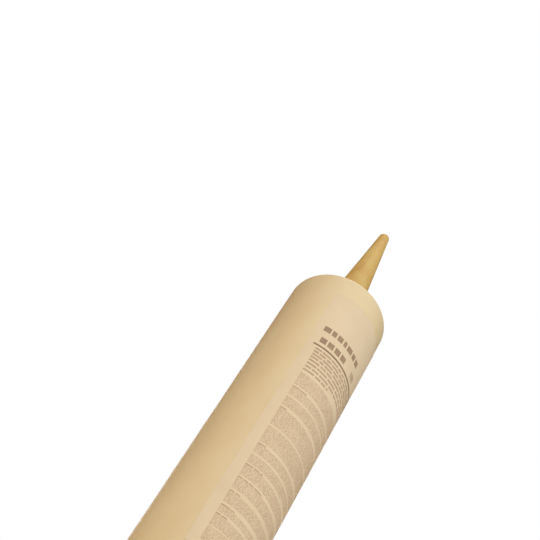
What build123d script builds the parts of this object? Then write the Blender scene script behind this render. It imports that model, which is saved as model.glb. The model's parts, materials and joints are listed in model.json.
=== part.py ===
from build123d import *
import os
from math import asin, atan2, cos, hypot, pi, sin, tan

# A ten-ounce sealant cartridge that stands on its rear rim, nozzle up.
# All sizes are in millimetres. +Z runs up the axis and the rear rim lies on z = 0.

# ---- barrel: one moulding, with the front face, the nozzle seat and the neck ----
body_radius = 25.0
body_length = 215.0  # rear rim to the flat front face
body_wall = 1.4
front_thickness = 2.0
front_round = 2.4  # outer edge of the front face
cavity_round = 1.2  # the same corner inside
rear_round = 0.4  # outer edge of the rear rim
rear_lead = 0.6  # chamfer inside the rear rim that lets the piston in
seat_margin = 1.35  # low boss under the nozzle, outside its grips
seat_height = 1.2
seat_round = 0.5
neck_radius = 7.2  # core of the neck, under its thread
neck_height = 14.0
neck_wall = 2.0
neck_chamfer = 0.6
bore_lead = 1.0  # chamfer where the neck's bore leaves the cavity

# ---- foil seal on the neck's end ----
seal_thickness = 0.1
seal_margin = 0.7  # bare ring left around the foil

# ---- nozzle: a hollow cone with a closed round tip and a screw socket ----
nozzle_length = 82.4
nozzle_wall = 1.3
cone_step = 1.35  # sloping step from the skirt in to the cone
tip_radius = 2.85
tip_solid = 4.0  # solid end that is cut off before use
thread_room = 0.85  # radial space between the neck's core and the socket for the thread
socket_headroom = 0.4
socket_lead = 0.5
grip_count = 12
grip_width = 1.1
grip_proud = 0.8
grip_root = 0.65  # how far each grip's bar is sunk into the skirt's wall
grip_round = 0.36
grip_margin = 1.0  # plain skirt below and above the grips

# ---- piston: a cup that opens to the rear, with two wiper lips ----
piston_height = 20.0
piston_depth = 14.0  # from the rear rim to the piston's own rear edge
piston_clearance = 0.08
piston_crown = 1.6
piston_wall = 1.2
lip_height = 3.0
lip_relief = 0.8  # how far the skirt stands back between the lips
lip_chamfer = 0.5
crown_chamfer = 0.9
rib_count = 8
rib_width = 1.0
rib_height = 5.0
hub_radius = 7.0
hub_wall = 1.0

# ---- sealant charge ----
fill_gap = 0.05

# ---- paper label ----
label_thickness = 0.13
glue_gap = 0.02
label_front_margin = 16.0  # bare barrel in front of the label
label_rear_margin = 14.0
bare_stripe_deg = 80.0  # bare barrel between the label's two side edges
bare_centre_deg = -135.0

# ---- what follows from them ----
bore_radius = body_radius - body_wall
cavity_top = body_length - front_thickness
seat_top = body_length + seat_height
neck_top = seat_top + neck_height
neck_bore_radius = neck_radius - neck_wall
seal_top = neck_top + seal_thickness
socket_radius = neck_radius + thread_room
socket_top = seal_top + socket_headroom
skirt_radius = socket_radius + nozzle_wall
seat_radius = skirt_radius + grip_proud + seat_margin
cone_base_radius = skirt_radius - cone_step
cone_base = socket_top + cone_step
nozzle_top = seat_top + nozzle_length
piston_front = piston_depth + piston_height

UPRIGHT = (Align.CENTER, Align.CENTER, Align.MIN)


def rod(radius, low, high):
    """An upright cylinder on the axis, between two heights."""
    return Pos(0, 0, low) * Cylinder(radius, high - low, align=UPRIGHT)


def top_edges(solid):
    return solid.edges().group_by(Axis.Z)[-1]


def bottom_edges(solid):
    return solid.edges().group_by(Axis.Z)[0]


def turned(corners):
    """A solid turned about the axis from the (radius, height) corners of half its section."""
    outline = Polyline(*[(radius, 0, height) for radius, height in corners], close=True)
    return revolve(make_face(outline), Axis.Z)


def inside(low, gap):
    """The space between the height low and the foil, with a gap left all round."""
    roof = cavity_top - gap
    throat = neck_bore_radius - gap
    room = fillet(top_edges(rod(bore_radius - gap, low, roof)), cavity_round)
    funnel = turned(
        [
            (0, low),
            (throat + bore_lead, low),
            (throat + bore_lead, roof),
            (throat, roof + bore_lead),
            (throat, neck_top - gap),
            (0, neck_top - gap),
        ]
    )
    return room + funnel


def make_barrel():
    shell = rod(body_radius, 0, body_length)
    shell = fillet(top_edges(shell), front_round)
    shell = fillet(bottom_edges(shell), rear_round)
    seat = fillet(top_edges(rod(seat_radius, cavity_top, seat_top)), seat_round)
    neck = chamfer(top_edges(rod(neck_radius, cavity_top, neck_top)), neck_chamfer)
    lead = turned(
        [(0, 0), (bore_radius + rear_lead, 0), (bore_radius, rear_lead), (0, rear_lead)]
    )
    return shell + seat + neck - inside(0, 0) - lead


def make_neck_seal():
    return rod(neck_radius - seal_margin, neck_top, seal_top)


def cone_half_angle():
    """Half the angle of the cone that leaves the base circle and meets the round tip smoothly."""
    rise = nozzle_top - tip_radius - cone_base
    return atan2(cone_base_radius, rise) - asin(tip_radius / hypot(cone_base_radius, rise))


def tip_point(angle):
    """A point on the round tip's section, at an angle above its widest level."""
    centre = nozzle_top - tip_radius
    return (tip_radius * cos(angle), 0, centre + tip_radius * sin(angle))


def make_nozzle():
    taper = cone_half_angle()
    tangent = tip_point(taper)
    middle = tip_point((taper + pi / 2) / 2)
    crest = tip_point(pi / 2)
    side = Polyline(
        (0, 0, seat_top),
        (skirt_radius, 0, seat_top),
        (skirt_radius, 0, socket_top),
        (cone_base_radius, 0, cone_base),
        tangent,
    )
    outline = side + ThreePointArc(tangent, middle, crest) + Line(crest, (0, 0, seat_top))
    solid = revolve(make_face(outline), Axis.Z)

    passage_top = nozzle_top - tip_solid
    passage_base_radius = cone_base_radius + (cone_base - socket_top) * tan(taper) - nozzle_wall
    passage_top_radius = passage_base_radius - (passage_top - socket_top) * tan(taper)
    passage = turned(
        [
            (0, seat_top),
            (socket_radius + socket_lead, seat_top),
            (socket_radius, seat_top + socket_lead),
            (socket_radius, socket_top),
            (passage_base_radius, socket_top),
            (passage_top_radius, passage_top),
            (0, passage_top),
        ]
    )

    grip_low = seat_top + grip_margin
    grip_high = socket_top - grip_margin
    grip_depth = grip_proud + grip_root
    bar = Box(grip_depth, grip_width, grip_high - grip_low, align=(Align.MAX, Align.CENTER, Align.MIN))
    bar = fillet(bar.edges().filter_by(Axis.Z).group_by(Axis.X)[-1], grip_round)
    bar = Pos(skirt_radius + grip_proud, 0, grip_low) * bar
    for index in range(grip_count):
        solid += Rot(0, 0, index * 360 / grip_count) * bar
    return solid - passage


def make_piston():
    lip_radius = bore_radius - piston_clearance
    skirt = lip_radius - lip_relief
    hollow = skirt - piston_wall
    rear = piston_depth
    front = piston_front
    crown = front - piston_crown
    cup = turned(
        [
            (hollow, rear),
            (lip_radius - lip_chamfer, rear),
            (lip_radius, rear + lip_chamfer),
            (lip_radius, rear + lip_height),
            (skirt, rear + lip_height + lip_relief),
            (skirt, front - lip_height - lip_relief),
            (lip_radius, front - lip_height),
            (lip_radius, front - crown_chamfer),
            (lip_radius - crown_chamfer, front),
            (0, front),
            (0, crown),
            (hollow, crown),
        ]
    )
    hub_low = crown - rib_height
    hub = rod(hub_radius, hub_low, crown) - rod(hub_radius - hub_wall, hub_low, crown)
    rib_start = hub_radius - hub_wall / 2
    rib_end = hollow + piston_wall / 2
    rib = Box(rib_end - rib_start, rib_width, rib_height, align=(Align.MIN, Align.CENTER, Align.MIN))
    rib = Pos(rib_start, 0, hub_low) * rib
    cup += hub
    for index in range(rib_count):
        cup += Rot(0, 0, index * 360 / rib_count) * rib
    return cup


def make_sealant():
    return inside(piston_front + fill_gap, fill_gap)


def make_label():
    inner = body_radius + glue_gap
    low = label_rear_margin
    high = body_length - label_front_margin
    strip = Polyline(
        (inner, 0, low),
        (inner + label_thickness, 0, low),
        (inner + label_thickness, 0, high),
        (inner, 0, high),
        close=True,
    )
    wrap = revolve(make_face(strip), Axis.Z, 360 - bare_stripe_deg)
    return Rot(0, 0, bare_centre_deg + bare_stripe_deg / 2) * wrap


NODES = {
    "barrel": make_barrel,
    "neck_seal": make_neck_seal,
    "nozzle": make_nozzle,
    "piston": make_piston,
    "sealant": make_sealant,
    "label": make_label,
}

os.makedirs("parts", exist_ok=True)
for name, make in NODES.items():
    export_step(make(), os.path.join("parts", name + ".step"))
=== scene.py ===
import json
from math import asin, atan2, ceil, copysign, cos, degrees, exp, hypot, pi, radians, sin, sqrt, tan
from random import Random

import bmesh
import bpy
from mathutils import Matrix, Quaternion, Vector


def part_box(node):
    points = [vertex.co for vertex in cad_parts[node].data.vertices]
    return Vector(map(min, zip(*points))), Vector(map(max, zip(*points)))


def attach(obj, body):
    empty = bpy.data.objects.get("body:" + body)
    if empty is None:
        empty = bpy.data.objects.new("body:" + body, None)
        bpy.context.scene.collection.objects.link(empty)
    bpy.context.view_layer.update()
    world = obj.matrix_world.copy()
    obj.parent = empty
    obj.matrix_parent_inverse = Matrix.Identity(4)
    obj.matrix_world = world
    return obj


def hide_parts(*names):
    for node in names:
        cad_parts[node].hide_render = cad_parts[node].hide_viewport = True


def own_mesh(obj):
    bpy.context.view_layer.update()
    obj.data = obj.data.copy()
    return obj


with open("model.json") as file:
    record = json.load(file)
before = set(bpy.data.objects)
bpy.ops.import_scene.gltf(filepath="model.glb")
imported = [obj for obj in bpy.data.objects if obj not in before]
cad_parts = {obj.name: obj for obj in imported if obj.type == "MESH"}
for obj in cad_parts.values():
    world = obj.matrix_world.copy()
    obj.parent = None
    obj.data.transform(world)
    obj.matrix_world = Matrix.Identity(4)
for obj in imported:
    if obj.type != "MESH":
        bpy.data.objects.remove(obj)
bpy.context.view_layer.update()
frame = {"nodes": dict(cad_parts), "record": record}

# A sealant cartridge that stands on its rear rim, nozzle up. Its sizes are in millimetres, and
# MM turns them to metres. The floor, the lights and the camera are placed in metres. Angles
# are in degrees where a name ends in _deg, and in radians elsewhere.
MM = 0.001


def extent(box):
    """The radius, the lowest level and the highest level of a CAD node's box."""
    low, high = box
    return high[0] / MM, low[2] / MM, high[2] / MM


# ---- sizes that the frame gives ----
body_radius, _, neck_top = extent(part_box("barrel"))
label_outer, label_bottom, label_top = extent(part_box("label"))
_, seat_top, tip_top = extent(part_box("nozzle"))
_, charge_low, plug_top = extent(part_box("sealant"))
_, _, foil_top = extent(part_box("neck_seal"))
mounts = {mount["name"]: mount for mount in frame["record"]["mounts"]}
front = mounts["front_face"]["pos_m"][2] / MM

# ---- sizes inside them, as the CAD has them ----
body_wall = 1.4
front_thickness = 2.0
front_round = 2.4
cavity_round = 1.2
rear_round = 0.4
rear_lead = 0.6
seat_margin = 1.35
seat_round = 0.5
neck_radius = 7.2
neck_wall = 2.0
neck_chamfer = 0.6
bore_lead = 1.0
thread_room = 0.85
socket_lead = 0.5
socket_headroom = 0.4
nozzle_wall = 1.3
cone_step = 1.35
tip_radius = 2.85
tip_solid = 4.0
grip_count = 12
grip_width = 1.1
grip_proud = 0.8
grip_round = 0.36
grip_margin = 1.0
fill_gap = 0.05
glue_gap = 0.02
bare_stripe_deg = 80.0
bare_centre_deg = -135.0

bore_radius = body_radius - body_wall
cavity_top = front - front_thickness
neck_bore_radius = neck_radius - neck_wall
socket_radius = neck_radius + thread_room
socket_top = foil_top + socket_headroom
skirt_radius = socket_radius + nozzle_wall
seat_radius = skirt_radius + grip_proud + seat_margin
cone_base = socket_top + cone_step
cone_base_radius = skirt_radius - cone_step

# ---- finer shapes that only the looks have ----
smooth_below_deg = 32.0  # edges with a smaller turn are shaded as one surface
barrel_facets = 256
charge_facets = 128
plug_facets = 64
skirt_round = 0.3
tip_steps = 14
cone_steps = 12
grip_fade_length = 0.35
grip_fade = ((0.0, 0.0), (0.3, 0.7), (1.0, 1.0))  # share of that length, share of the grip's height
grip_edge_insets = (0.2, 0.08, 0.02, 0.0, -0.03)  # columns of points near a grip's edge
plain_steps = 5  # from a grip's edge to half way to the next grip
thread_pitch = 3.0
thread_sink = 0.25  # how far a thread's root is buried in the wall
thread_base_half = thread_pitch * 0.32
thread_crest_half = thread_pitch * 0.12
thread_fade_turns = 0.35
thread_least_share = 0.02  # of the thread's height, where it has faded
thread_steps_a_turn = 72
neck_thread_proud = 0.55
neck_thread_margins = (2.2, 1.8)  # plain wall below and above it
socket_thread_proud = 0.2
socket_thread_margins = (2.4, 2.6)


# ---- mesh tools ----
def corner(radius_at, height_at, size, start_deg, end_deg, steps=6):
    """Points along a round corner of a section, with angles from +radius towards +height."""
    turns = [radians(start_deg + (end_deg - start_deg) * step / steps) for step in range(steps + 1)]
    return [(radius_at + size * cos(turn), height_at + size * sin(turn)) for turn in turns]


def even_columns(count):
    """Angles spread evenly round the axis."""
    return [2 * pi * step / count for step in range(count)]


def join_rings(bm, first, second):
    """Faces from one closed ring of vertices to the next; a ring of one vertex is a fan's tip."""
    count = max(len(first), len(second))
    for here in range(count):
        there = (here + 1) % count
        if len(first) == 1:
            bm.faces.new((first[0], second[there], second[here]))
        elif len(second) == 1:
            bm.faces.new((first[here], first[there], second[0]))
        else:
            bm.faces.new((first[here], first[there], second[there], second[here]))


def join_rows(bm, first, second):
    """Faces from one open row of vertices to the next."""
    for here in range(len(first) - 1):
        bm.faces.new((first[here], first[here + 1], second[here + 1], second[here]))


def add_bar(bm, rings):
    """A solid bar through rings of vertices, with a flat face on each end."""
    for first, second in zip(rings, rings[1:]):
        join_rings(bm, first, second)
    bm.faces.new(rings[0])
    bm.faces.new(rings[-1])


def turn_section(section, columns, swell=None):
    """A bmesh turned from (radius, height) points, one column of points at each angle.

    A section that starts and ends on the axis closes there in two fans, and any other is a closed
    outline. swell(angle, index) adds to the radius of point index at that angle.
    """
    bm = bmesh.new()
    rings = []
    for index, (radius, height) in enumerate(section):
        if radius == 0:
            rings.append([bm.verts.new((0, 0, height))])
            continue
        ring = []
        for angle in columns:
            out = radius + (swell(angle, index) if swell else 0)
            ring.append(bm.verts.new((out * cos(angle), out * sin(angle), height)))
        rings.append(ring)
    for lower, upper in zip(rings, rings[1:]):
        join_rings(bm, lower, upper)
    if len(rings[0]) > 1 and len(rings[-1]) > 1:
        join_rings(bm, rings[-1], rings[0])
    return bm


def add_object(name, data):
    """A new object in the scene."""
    added = bpy.data.objects.new(name, data)
    bpy.context.scene.collection.objects.link(added)
    return added


def add_piece(name, bm, material):
    """A piece with its mesh in metres, smooth except along its sharp edges."""
    bmesh.ops.recalc_face_normals(bm, faces=bm.faces)
    bmesh.ops.scale(bm, vec=(MM, MM, MM), verts=bm.verts)
    mesh = bpy.data.meshes.new(name)
    bm.to_mesh(mesh)
    bm.free()
    mesh.materials.append(material)
    mesh.polygons.foreach_set("use_smooth", [True] * len(mesh.polygons))
    mesh.set_sharp_from_angle(angle=radians(smooth_below_deg))
    return add_object(name, mesh)


# ---- material tools ----
def shade(red, green, blue):
    """A linear colour from display values of 0 to 255."""
    linear = []
    for value in (red / 255, green / 255, blue / 255):
        linear.append(value / 12.92 if value <= 0.04045 else ((value + 0.055) / 1.055) ** 2.4)
    return (*linear, 1.0)


class Tree:
    """A node tree under construction, with short ways to add the nodes used most."""

    def __init__(self, node_tree):
        self.nodes = node_tree.nodes
        self.links = node_tree.links

    def ramp(self, value, low, high, to_low=0.0, to_high=1.0):
        """Value, spread from low..high to to_low..to_high."""
        spread = self.nodes.new("ShaderNodeMapRange")
        spread.interpolation_type = "SMOOTHSTEP"
        spread.inputs["From Min"].default_value = low
        spread.inputs["From Max"].default_value = high
        spread.inputs["To Min"].default_value = to_low
        spread.inputs["To Max"].default_value = to_high
        self.links.new(value, spread.inputs["Value"])
        return spread.outputs["Result"]

    def mix(self, factor, first, second):
        """A colour between two others, each a colour or another node's output."""
        mixer = self.nodes.new("ShaderNodeMix")
        mixer.data_type = "RGBA"
        self.links.new(factor, mixer.inputs["Factor"])
        for socket, colour in ((mixer.inputs["A"], first), (mixer.inputs["B"], second)):
            if isinstance(colour, tuple):
                socket.default_value = colour
            else:
                self.links.new(colour, socket)
        return mixer.outputs["Result"]

    def mix_shaders(self, factor, first, second):
        """A shader between two others."""
        mixer = self.nodes.new("ShaderNodeMixShader")
        self.links.new(factor, mixer.inputs["Fac"])
        self.links.new(first, mixer.inputs[1])
        self.links.new(second, mixer.inputs[2])
        return mixer.outputs["Shader"]


class Paint(Tree):
    """A material under construction."""

    def __init__(self, name, roughness, specular=0.5):
        self.material = bpy.data.materials.new(name)
        self.material.use_nodes = True
        super().__init__(self.material.node_tree)
        self.roughness = roughness
        self.shader = self.nodes["Principled BSDF"]
        self.shader.inputs["Roughness"].default_value = roughness
        self.shader.inputs["Specular IOR Level"].default_value = specular
        self.place = self.nodes.new("ShaderNodeTexCoord").outputs["Object"]

    def noise(self, size, detail=3.0, rough=0.5, squeeze=1.0):
        """Noise with features about size millimetres across, and size / squeeze up the tube."""
        mapping = self.nodes.new("ShaderNodeMapping")
        mapping.inputs["Scale"].default_value = (1 / MM, 1 / MM, squeeze / MM)
        self.links.new(self.place, mapping.inputs["Vector"])
        texture = self.nodes.new("ShaderNodeTexNoise")
        texture.inputs["Scale"].default_value = 1 / size
        texture.inputs["Detail"].default_value = detail
        texture.inputs["Roughness"].default_value = rough
        self.links.new(mapping.outputs["Vector"], texture.inputs["Vector"])
        return texture.outputs["Fac"]

    def set_colour(self, colour):
        self.links.new(colour, self.shader.inputs["Base Color"])

    def vary_roughness(self, value, low, high, less, more):
        """Roughness from less below the material's own, where value is low, to more above it."""
        spread = self.ramp(value, low, high, self.roughness - less, self.roughness + more)
        self.links.new(spread, self.shader.inputs["Roughness"])

    def bump(self, height, depth, strength):
        """Adds a bump of about depth millimetres on top of any that is there already."""
        node = self.nodes.new("ShaderNodeBump")
        node.inputs["Distance"].default_value = depth * MM
        node.inputs["Strength"].default_value = strength
        self.links.new(height, node.inputs["Height"])
        before = self.shader.inputs["Normal"]
        if before.is_linked:
            self.links.new(before.links[0].from_socket, node.inputs["Normal"])
        self.links.new(node.outputs["Normal"], before)


# ---- materials ----
glow_spread = (1.0, 0.7, 0.35)  # red light spreads furthest inside polyethylene


def moulded_plastic(name, pale, deep, roughness, gloss, cloud_size, glow, glow_depth):
    """Polyethylene: waxy, faintly cloudy, with flow lines up the moulding and fine scuffs."""
    paint = Paint(name, roughness, gloss)
    cloud = paint.ramp(paint.noise(cloud_size, rough=0.55, squeeze=0.35), 0.25, 0.75)
    flow = paint.noise(1.6, detail=4, rough=0.6, squeeze=0.03)
    scuff = paint.noise(0.5, detail=5, rough=0.65, squeeze=0.2)
    tint = paint.mix(cloud, deep, pale)
    paint.set_colour(paint.mix(paint.ramp(flow, 0.35, 0.75, to_high=0.16), tint, deep))
    paint.vary_roughness(scuff, 0.3, 0.7, less=0.05, more=0.08)
    paint.bump(flow, depth=0.02, strength=0.5)
    paint.bump(paint.noise(0.35), depth=0.01, strength=0.35)
    paint.shader.inputs["Subsurface Weight"].default_value = glow
    paint.shader.inputs["Subsurface Radius"].default_value = glow_spread
    paint.shader.inputs["Subsurface Scale"].default_value = glow_depth * MM
    return paint.material


def paper(name):
    """Semi-matt label paper: fine fibres, and the gentle waviness of paper glued to plastic."""
    paint = Paint(name, roughness=0.6, specular=0.25)
    blotch = paint.ramp(paint.noise(18, detail=4, rough=0.6), 0.3, 0.7)
    fibre = paint.noise(0.45, detail=4, rough=0.7, squeeze=0.45)
    wave = paint.noise(7, detail=2, rough=0.4, squeeze=0.5)
    base = paint.mix(blotch, shade(227, 207, 173), shade(232, 212, 179))
    paint.set_colour(paint.mix(paint.ramp(fibre, 0.35, 0.8, to_high=0.25), base, shade(218, 196, 160)))
    paint.vary_roughness(fibre, 0.2, 0.8, less=0.08, more=0.06)
    paint.bump(wave, depth=0.08, strength=0.5)
    paint.bump(fibre, depth=0.012, strength=0.5)
    return paint.material


def ink(name, dark, worn):
    """Printed ink: uneven in patches and in specks, so that some of the paper shows through."""
    paint = Paint(name, roughness=0.55, specular=0.25)
    speck = paint.noise(0.8, detail=4, rough=0.7)
    patch = paint.ramp(paint.noise(3.5, detail=4, rough=0.6), 0.35, 0.7, to_high=0.6)
    patchy = paint.mix(patch, dark, worn)
    paint.set_colour(paint.mix(paint.ramp(speck, 0.45, 0.8), patchy, worn))
    paint.vary_roughness(speck, 0.3, 0.7, less=0.05, more=0.1)
    return paint.material


def foil(name):
    """Bright embossed foil with a lacquer."""
    paint = Paint(name, roughness=0.4)
    paint.shader.inputs["Metallic"].default_value = 0.8
    wrinkle = paint.noise(1.1, detail=4, rough=0.6)
    paint.set_colour(paint.mix(wrinkle, shade(222, 222, 224), shade(240, 239, 236)))
    paint.vary_roughness(paint.noise(0.4), 0.3, 0.7, less=0.06, more=0.1)
    paint.bump(wrinkle, depth=0.12, strength=0.8)
    return paint.material


def paste(name):
    """Thick sealant, smeared against the wall of the barrel."""
    paint = Paint(name, roughness=0.4)
    smear = paint.noise(5, detail=4, rough=0.6, squeeze=2.5)
    paint.set_colour(paint.mix(smear, shade(204, 202, 196), shade(222, 220, 214)))
    paint.bump(smear, depth=0.25, strength=0.5)
    return paint.material


barrel_plastic = moulded_plastic(
    "barrel_polyethylene",
    pale=shade(231, 212, 169),
    deep=shade(227, 205, 160),
    roughness=0.4,
    gloss=0.4,
    cloud_size=14,
    glow=0.12,
    glow_depth=1.2,
)
nozzle_plastic = moulded_plastic(
    "nozzle_polyethylene",
    pale=shade(211, 184, 110),
    deep=shade(203, 161, 86),
    roughness=0.52,
    gloss=0.22,
    cloud_size=6,
    glow=0.2,
    glow_depth=1.6,
)
piston_plastic = moulded_plastic(
    "piston_polyethylene",
    pale=shade(232, 230, 221),
    deep=shade(222, 219, 208),
    roughness=0.45,
    gloss=0.4,
    cloud_size=8,
    glow=0.1,
    glow_depth=1.0,
)
label_paper = paper("label_paper_stock")
heading_ink = ink("heading_ink", shade(155, 129, 101), shade(181, 154, 124))
rule_ink = ink("rule_ink", shade(132, 107, 80), shade(158, 132, 104))
line_ink = ink("line_ink", shade(183, 157, 128), shade(205, 179, 150))
subhead_ink = ink("subhead_ink", shade(184, 158, 127), shade(208, 182, 150))
fine_ink = ink("fine_ink", shade(198, 172, 140), shade(223, 199, 168))
seal_foil = foil("seal_foil_bright")
sealant_paste = paste("sealant_paste_smooth")


# ---- barrel ----
def barrel_section():
    """The closed outline, from the rear rim up the outside, over the neck and down the bore."""
    rim = corner(body_radius - rear_round, rear_round, rear_round, -90, 0)
    shoulder = corner(body_radius - front_round, front - front_round, front_round, 0, 90, steps=12)
    seat = corner(seat_radius - seat_round, seat_top - seat_round, seat_round, 0, 90)
    cavity = corner(bore_radius - cavity_round, cavity_top - cavity_round, cavity_round, 90, 0)
    return [
        *rim,
        *shoulder,
        (seat_radius, front),
        *seat,
        (neck_radius, seat_top),
        (neck_radius, neck_top - neck_chamfer),
        (neck_radius - neck_chamfer, neck_top),
        (neck_bore_radius, neck_top),
        (neck_bore_radius, cavity_top + bore_lead),
        (neck_bore_radius + bore_lead, cavity_top),
        *cavity,
        (bore_radius, rear_lead),
        (bore_radius + rear_lead, 0),
    ]


def make_barrel():
    bm = turn_section(barrel_section(), even_columns(barrel_facets))
    shell = add_piece("barrel_shell", bm, barrel_plastic)
    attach(shell, "barrel")
    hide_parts("barrel")


# ---- threads ----
def make_thread(name, root, height, low, high, material, body):
    """A helical ridge on a wall of radius root; it stands inwards where its height is negative.

    It fades in and out at its ends.
    """
    buried = root - copysign(thread_sink, height)
    turns = (high - low) / thread_pitch
    steps = int(turns * thread_steps_a_turn)
    bm = bmesh.new()
    rings = []
    for step in range(steps + 1):
        share = step / steps
        angle = 2 * pi * turns * share
        level = low + (high - low) * share
        fade = min(1.0, share * turns / thread_fade_turns, (1 - share) * turns / thread_fade_turns)
        crest = root + height * max(fade, thread_least_share)
        section = (
            (buried, -thread_base_half),
            (root, -thread_base_half),
            (crest, -thread_crest_half),
            (crest, thread_crest_half),
            (root, thread_base_half),
            (buried, thread_base_half),
        )
        ring = [bm.verts.new((out * cos(angle), out * sin(angle), level + up)) for out, up in section]
        rings.append(ring)
    add_bar(bm, rings)
    thread = add_piece(name, bm, material)
    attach(thread, body)


def make_neck_thread():
    make_thread(
        "neck_thread",
        root=neck_radius,
        height=neck_thread_proud,
        low=seat_top + neck_thread_margins[0],
        high=neck_top - neck_thread_margins[1],
        material=barrel_plastic,
        body="barrel",
    )


def make_socket_thread():
    make_thread(
        "socket_thread",
        root=socket_radius,
        height=-socket_thread_proud,
        low=seat_top + socket_thread_margins[0],
        high=socket_top - socket_thread_margins[1],
        material=nozzle_plastic,
        body="nozzle",
    )


# ---- nozzle ----
def cone_half_angle():
    """Half the angle of the cone that leaves the base circle and meets the round tip smoothly."""
    rise = tip_top - tip_radius - cone_base
    return atan2(cone_base_radius, rise) - asin(tip_radius / hypot(cone_base_radius, rise))


def cone_outside(taper):
    """Points from the tip's crest down to the skirt."""
    tip = corner(0, tip_top - tip_radius, tip_radius, 90, degrees(taper), tip_steps)
    tangent_radius, tangent_height = tip[-1]
    points = [(0, tip_top)] + tip[1:]
    for step in range(1, cone_steps):
        share = step / cone_steps
        radius = tangent_radius + (cone_base_radius - tangent_radius) * share
        points.append((radius, tangent_height + (cone_base - tangent_height) * share))
    return points + [(cone_base_radius, cone_base), (skirt_radius, socket_top)]


def grip_levels():
    """The levels of the skirt's points from the top down, and each one's share of a grip's height."""
    low = seat_top + grip_margin
    high = socket_top - grip_margin
    upper = [(high - grip_fade_length * along, share) for along, share in grip_fade]
    lower = [(low + grip_fade_length * along, share) for along, share in reversed(grip_fade)]
    return upper + lower


def passage_points(taper):
    """Points up the socket and the passage, to the axis."""
    top = tip_top - tip_solid
    base_radius = cone_base_radius + (cone_base - socket_top) * tan(taper) - nozzle_wall
    top_radius = base_radius - (top - socket_top) * tan(taper)
    return [
        (socket_radius + socket_lead, seat_top),
        (socket_radius, seat_top + socket_lead),
        (socket_radius, socket_top),
        (base_radius, socket_top),
        (top_radius, top),
        (0, top),
    ]


def grip_profile(across):
    """How far a grip stands out at a distance across from its middle, as a share of its height."""
    flat_half = grip_width / 2 - grip_round
    over = abs(across) - flat_half
    if over <= 0:
        return 1.0
    if over <= grip_round:
        return (grip_proud - grip_round + sqrt(grip_round**2 - over**2)) / grip_proud
    return 0.0


def nozzle_columns():
    """Angles that follow each grip's round edges closely and are wider apart between grips."""
    half = grip_width / 2
    steps = [0, half - grip_round] + [half - inset for inset in grip_edge_insets]
    pitch = 2 * pi / grip_count
    one_side = [step / skirt_radius for step in steps]
    last = one_side[-1]
    one_side += [last + (pitch / 2 - last) * step / plain_steps for step in range(1, plain_steps)]
    columns = []
    for index in range(grip_count):
        middle = index * pitch
        columns += [middle - angle for angle in reversed(one_side[1:])]
        columns += [middle + angle for angle in one_side]
        columns.append(middle + pitch / 2)
    return columns


def make_nozzle():
    taper = cone_half_angle()
    cone = cone_outside(taper)
    levels = grip_levels()
    skirt = [(skirt_radius, height) for height, share in levels]
    foot = corner(skirt_radius - skirt_round, seat_top + skirt_round, skirt_round, 0, -90, steps=4)
    section = cone + skirt + foot + passage_points(taper)
    grip_shares = {len(cone) + index: share for index, (height, share) in enumerate(levels)}
    pitch = 2 * pi / grip_count

    def swell(angle, index):
        if index not in grip_shares:
            return 0
        from_middle = angle - round(angle / pitch) * pitch
        return grip_shares[index] * grip_proud * grip_profile(from_middle * skirt_radius)

    cone = add_piece("nozzle_cone", turn_section(section, nozzle_columns(), swell), nozzle_plastic)
    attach(cone, "nozzle")
    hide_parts("nozzle")


# ---- label: places on it are in mm across from its side edge and down from its front end ----
label_edge_deg = bare_centre_deg + bare_stripe_deg / 2
label_width = radians(360 - bare_stripe_deg) * label_outer
label_height = label_top - label_bottom
label_thickness = label_outer - body_radius - glue_gap
label_step_across = 0.45
label_step_down = 5.0
label_edge_steps = (0.25, 0.6, 1.1, 1.8, 2.8)
side_lift = 0.09
side_lift_reach = 0.8  # distance from the edge over which the lift falls to about a third
side_ripple, side_swell = 9.0, 23.0  # length along the edge for each radian of its two waves
side_swell_start = 1.0
end_lift = 0.05
end_lift_reach = 0.6
end_ripple = 7.0
end_ripple_start = 0.5


def label_lift(across, down):
    """How far the glued sheet stands off the barrel; only its edges lift, and unevenly."""
    from_side = min(across, label_width - across)
    from_end = min(down, label_height - down)
    side_wave = 0.5 + 0.5 * sin(down / side_ripple) * sin(down / side_swell + side_swell_start)
    end_wave = 0.4 + 0.4 * sin(across / end_ripple + end_ripple_start)
    side = side_lift * side_wave * exp(-from_side / side_lift_reach)
    return side + end_lift * end_wave * exp(-from_end / end_lift_reach)


def label_vertex(bm, across, down, lift):
    """A new vertex, lift above the label's outer face."""
    angle = radians(label_edge_deg) + across / label_outer
    out = label_outer + label_lift(across, down) + lift
    return bm.verts.new((out * cos(angle), out * sin(angle), label_top - down))


def graded(length, step, edge_steps):
    """Stations from 0 to length, closer together at both ends."""
    inner = length - 2 * edge_steps[-1]
    count = ceil(inner / step)
    middle = [edge_steps[-1] + inner * index / count for index in range(1, count)]
    return [0, *edge_steps, *middle, *[length - value for value in reversed(edge_steps)], length]


def make_label():
    across_stations = graded(label_width, label_step_across, label_edge_steps)
    down_stations = graded(label_height, label_step_down, label_edge_steps)
    bm = bmesh.new()
    sides = []
    for lift in (0, -label_thickness):
        rows = []
        for down in down_stations:
            rows.append([label_vertex(bm, across, down, lift) for across in across_stations])
        for upper, lower in zip(rows, rows[1:]):
            join_rows(bm, upper, lower)
        sides.append(rows)
    outer, inner = sides
    for row in (0, -1):
        join_rows(bm, outer[row], inner[row])
    for column in (0, -1):
        join_rows(bm, [row[column] for row in outer], [row[column] for row in inner])
    sheet = add_piece("label_sheet", bm, label_paper)
    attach(sheet, "barrel")
    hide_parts("label")


# ---- print: plain bars and blocks, placed across and down the label as above ----
ink_sink = 0.05
ink_proud = 0.02
ink_step = 1.1
margin = 5.0  # bare paper beside the print
print_columns = ((margin, 55.0), (62.0, label_width - margin))

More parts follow.
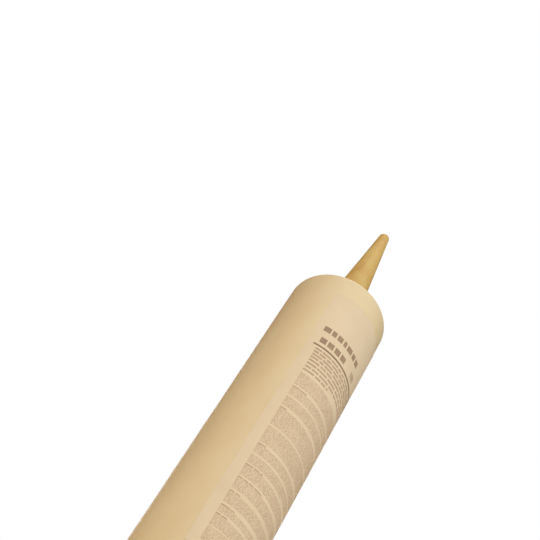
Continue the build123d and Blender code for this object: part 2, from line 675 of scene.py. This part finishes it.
block_gap = 0.9
heading_left = 3.8
heading_levels = (27.3, 31.2)
heading_widths = (3.6, 2.4, 3.0, 1.8, 3.6, 2.4, 3.0)
number_left = 4.9
number_levels = (35.9, 40.0)
number_widths = (3.3, 3.3, 3.3, 3.3)
stripe_left, stripe_right = 27.6, 32.0
stripe_levels = (35.8, 37.2, 38.6)
stripe_height = 0.7
rule_left = 3.0
rule_levels = (42.05, 43.2)

word_gap = (0.4, 0.65)  # the space after a word, as a share of the line's height
open_groups = ((45.3, 2.25), (54.5, 2.6))  # the first line's level and the pitch
open_group_lines = 4
open_height = 1.3
open_words = (2.0, 6.5)
open_last_length = 15.0
open_seed = 7

fine_pitch = 0.95
fine_height = 0.62
fine_words = (0.7, 2.8)
fine_overrun = 0.25  # a line is added where all but this share of its pitch fits
last_line_share = (0.3, 0.95)
subhead_height = fine_height * 1.2
subhead_words = (2.0, 4.5)
paragraph_padding = 0.4
fine_seed = 20
paragraph_starts = (  # the level of each paragraph's top, and its subhead's length, 0 for none
    (64.6, 0), (75.2, 8.7), (83.2, 0), (91.2, 4.2), (105.6, 0), (117.8, 4.8), (125.8, 0),
    (132.2, 8.8), (140.8, 13.3), (149.8, 6.0), (158.8, 6.6), (164.2, 5.6), (172.4, 0),
)
print_end = 182.2


def stamp(bm, left, right, top, bottom):
    """A block of ink: a thin slab bent round the label, with its back sunk in the paper."""
    count = max(1, ceil((right - left) / ink_step))
    outline = ((top, -ink_sink), (top, ink_proud), (bottom, ink_proud), (bottom, -ink_sink))
    rings = []
    for index in range(count + 1):
        across = left + (right - left) * index / count
        rings.append([label_vertex(bm, across, down, lift) for down, lift in outline])
    add_bar(bm, rings)


def block_row(bm, left, levels, widths):
    """A row of plain blocks."""
    for width in widths:
        stamp(bm, left, left + width, *levels)
        left += width + block_gap


def text_line(bm, draw, left, right, down, height, word_range):
    """A greeked line: one bar a word, with word spaces between them."""
    across = left
    last_start = right - word_range[0] / 2
    while across < last_start:
        width = min(draw.uniform(*word_range), right - across)
        stamp(bm, across, across + width, down - height / 2, down + height / 2)
        across += width + height * draw.uniform(*word_gap)


def paragraph(bm, draw, left, right, top, bottom):
    """Lines of fine print at an even pitch between two levels; the last one stops short."""
    count = max(1, int((bottom - top) / fine_pitch + fine_overrun))
    for index in range(count):
        down = top + fine_pitch * (index + 0.5)
        end = right
        if index == count - 1:
            end = left + (right - left) * draw.uniform(*last_line_share)
        text_line(bm, draw, left, end, down, fine_height, fine_words)


def make_heading():
    """Heading, number row and small box as plain blocks and stripes, and the rule below them."""
    bm = bmesh.new()
    block_row(bm, heading_left, heading_levels, heading_widths)
    block_row(bm, number_left, number_levels, number_widths)
    for down in stripe_levels:
        stamp(bm, stripe_left, stripe_right, down, down + stripe_height)
    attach(add_piece("label_heading", bm, heading_ink), "barrel")
    bm = bmesh.new()
    stamp(bm, rule_left, label_width - margin, *rule_levels)
    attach(add_piece("label_rule", bm, rule_ink), "barrel")


def make_open_lines():
    """Open lines of print below the rule, in two places round the label."""
    draw = Random(open_seed)
    bm = bmesh.new()
    levels = [first + pitch * index for first, pitch in open_groups for index in range(open_group_lines)]
    for left, right in print_columns:
        for down in levels:
            end = left + open_last_length if down == levels[-1] else right
            text_line(bm, draw, left, end, down, open_height, open_words)
    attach(add_piece("label_open_lines", bm, line_ink), "barrel")


def make_fine_print():
    """Dense paragraphs below the open lines, in the same two places, some with a bolder subhead."""
    ends = [top for top, subhead in paragraph_starts[1:]] + [print_end]
    draw = Random(fine_seed)
    fine, bold = bmesh.new(), bmesh.new()
    for left, right in print_columns:
        for (top, subhead), bottom in zip(paragraph_starts, ends):
            first = top + paragraph_padding
            if subhead:
                middle = first + fine_pitch / 2
                text_line(bold, draw, left, left + subhead, middle, subhead_height, subhead_words)
                first += fine_pitch
            paragraph(fine, draw, left, right, first, bottom - paragraph_padding)
    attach(add_piece("label_fine_print", fine, fine_ink), "barrel")
    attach(add_piece("label_subheads", bold, subhead_ink), "barrel")


# ---- sealant ----
def make_sealant():
    """The charge in the barrel, with a mesh of its own, and the plug that fills the neck."""
    radius = bore_radius - fill_gap
    top = cavity_top - fill_gap
    round_edge = corner(radius - cavity_round, top - cavity_round, cavity_round, 0, 90)
    section = [(0, charge_low), (radius, charge_low), *round_edge, (0, top)]
    charge = add_piece("sealant_charge", turn_section(section, even_columns(charge_facets)), sealant_paste)
    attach(charge, "barrel")
    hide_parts("sealant")
    throat = neck_bore_radius - fill_gap
    section = [
        (0, cavity_top),
        (throat + bore_lead, cavity_top),
        (throat, cavity_top + bore_lead),
        (throat, plug_top),
        (0, plug_top),
    ]
    plug = add_piece("sealant_plug", turn_section(section, even_columns(plug_facets)), sealant_paste)
    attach(plug, "barrel")
    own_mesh(charge)


def repaint(node, material):
    """Gives a CAD node that stays its finished material."""
    mesh = frame["nodes"][node].data
    mesh.materials.clear()
    mesh.materials.append(material)


# ---- stage: a pale floor, a plain pale surround, soft lights and the camera, in metres ----
floor_size = 4.0
floor_fade = (0.35, 1.2)  # distances from the tube over which the floor turns to plain white
floor_colour = shade(243, 242, 240)
hole_radius = (body_radius - rear_round) * MM
hole_edge = 0.05 * MM

light_side_deg = -74.0
dome_front = (1.0, 0.98, 0.96, 1.0)
dome_left = (0.8, 0.46, 0.2, 1.0)
dome_back = (0.14, 0.11, 0.08, 1.0)
dome_strength = 0.93
dome_lean = 0.15  # how far the brightest direction leans up
left_spread = (0.55, 1.0)
front_spread = (-0.2, 0.65)
daylight = (1.0, 0.98, 0.96)
amber = (1.0, 0.5, 0.15)

camera_lens_mm = 100.0
camera_sensor_mm = 36.0
camera_near = 0.01
camera_azimuth_deg = -81.5
camera_distance = 0.4502
camera_height = -0.3782
camera_aim = (-0.0392, -0.0095, 0.2146)
camera_roll_deg = 35.29


def round_the_axis(azimuth_deg, distance, height):
    """A point at an azimuth and a distance from the tube's axis."""
    azimuth = radians(azimuth_deg)
    return Vector((distance * cos(azimuth), distance * sin(azimuth), height))


def point_at(placed, target):
    """Turns a light or a camera at its place towards a point."""
    placed.rotation_mode = "QUATERNION"
    placed.rotation_quaternion = (Vector(target) - placed.location).to_track_quat("-Z", "Y")


def make_floor():
    """A pale floor that fades into the surround, see-through from below and under the tube."""
    bm = bmesh.new()
    bmesh.ops.create_grid(bm, x_segments=1, y_segments=1, size=floor_size)
    mesh = bpy.data.meshes.new("floor")
    bm.to_mesh(mesh)
    bm.free()
    floor = add_object("floor", mesh)
    paint = Paint("floor_matt", roughness=0.8, specular=0.2)
    paint.shader.inputs["Base Color"].default_value = floor_colour
    nodes, links = paint.nodes, paint.links
    geometry = nodes.new("ShaderNodeNewGeometry")
    reach = nodes.new("ShaderNodeVectorMath")
    reach.operation = "LENGTH"
    links.new(geometry.outputs["Position"], reach.inputs[0])
    far = paint.ramp(reach.outputs["Value"], *floor_fade)
    hole_start = hole_radius - hole_edge
    under = paint.ramp(reach.outputs["Value"], hole_start, hole_radius, to_low=1.0, to_high=0.0)
    hidden = nodes.new("ShaderNodeMath")
    hidden.operation = "MAXIMUM"
    links.new(geometry.outputs["Backfacing"], hidden.inputs[0])
    links.new(under, hidden.inputs[1])
    clear = nodes.new("ShaderNodeBsdfTransparent").outputs["BSDF"]
    white = nodes.new("ShaderNodeEmission").outputs["Emission"]
    seen = nodes.new("ShaderNodeLightPath").outputs["Is Camera Ray"]
    beyond = paint.mix_shaders(seen, clear, white)
    upper_side = paint.mix_shaders(far, paint.shader.outputs["BSDF"], beyond)
    surface = paint.mix_shaders(hidden.outputs["Value"], upper_side, clear)
    links.new(surface, nodes["Material Output"].inputs["Surface"])
    mesh.materials.append(paint.material)


def make_surround():
    """White to the camera. All else is lit by a soft half dome, warmer towards the bare side."""
    world = bpy.data.worlds.new("surround")
    bpy.context.scene.world = world
    world.use_nodes = True
    tree = Tree(world.node_tree)
    nodes, links = tree.nodes, tree.links
    white = nodes["Background"]
    white.inputs["Color"].default_value = (1.0, 1.0, 1.0, 1.0)
    white.inputs["Strength"].default_value = 1.0
    direction = nodes.new("ShaderNodeTexCoord").outputs["Generated"]

    def towards(azimuth_deg, low, high):
        """A factor that grows from 0 to 1 as a ray turns towards an azimuth."""
        turned = nodes.new("ShaderNodeVectorMath")
        turned.operation = "DOT_PRODUCT"
        turned.inputs[1].default_value = round_the_axis(azimuth_deg, 1.0, dome_lean)
        links.new(direction, turned.inputs[0])
        return tree.ramp(turned.outputs["Value"], low, high)

    lit = tree.mix(towards(light_side_deg - 90, *left_spread), dome_front, dome_left)
    tone = tree.mix(towards(light_side_deg, *front_spread), dome_back, lit)
    ambient = nodes.new("ShaderNodeBackground")
    ambient.inputs["Strength"].default_value = dome_strength
    links.new(tone, ambient.inputs["Color"])
    seen = nodes.new("ShaderNodeLightPath").outputs["Is Camera Ray"]
    surface = tree.mix_shaders(seen, ambient.outputs["Background"], white.outputs["Background"])
    links.new(surface, nodes["World Output"].inputs["Surface"])


def make_light(name, azimuth_deg, distance, height, size, watts, colour):
    """A round soft light that points at the middle of the barrel."""
    lamp = bpy.data.lights.new(name, "AREA")
    lamp.shape = "DISK"
    lamp.size = size
    lamp.energy = watts
    lamp.color = colour
    light = add_object(name, lamp)
    light.location = round_the_axis(azimuth_deg, distance, height)
    light.visible_camera = False
    point_at(light, (0, 0, front / 2 * MM))


def make_camera():
    """Below the rear end and to one side, looking up along the tube."""
    data = bpy.data.cameras.new("camera")
    data.lens = camera_lens_mm
    data.sensor_width = camera_sensor_mm
    data.clip_start = camera_near
    camera = add_object("camera", data)
    camera.location = round_the_axis(camera_azimuth_deg, camera_distance, camera_height)
    point_at(camera, camera_aim)
    camera.rotation_quaternion @= Quaternion((0, 0, 1), radians(camera_roll_deg))
    bpy.context.scene.camera = camera


make_barrel()
make_neck_thread()
make_nozzle()
make_socket_thread()
make_label()
make_heading()
make_open_lines()
make_fine_print()
make_sealant()
repaint("neck_seal", seal_foil)
repaint("piston", piston_plastic)

make_floor()
make_surround()
make_light("key", light_side_deg, distance=1.9, height=0.9, size=1.4, watts=7.0, colour=daylight)
make_light("top", light_side_deg, distance=0.1, height=2.4, size=0.6, watts=7.0, colour=daylight)
make_light("bounce", light_side_deg - 110, distance=1.2, height=0.3, size=0.8, watts=1.2, colour=amber)
make_light("fill", light_side_deg + 172, distance=1.9, height=1.2, size=2.0, watts=26.0, colour=daylight)
make_camera()
bpy.context.scene.view_settings.view_transform = "Standard"
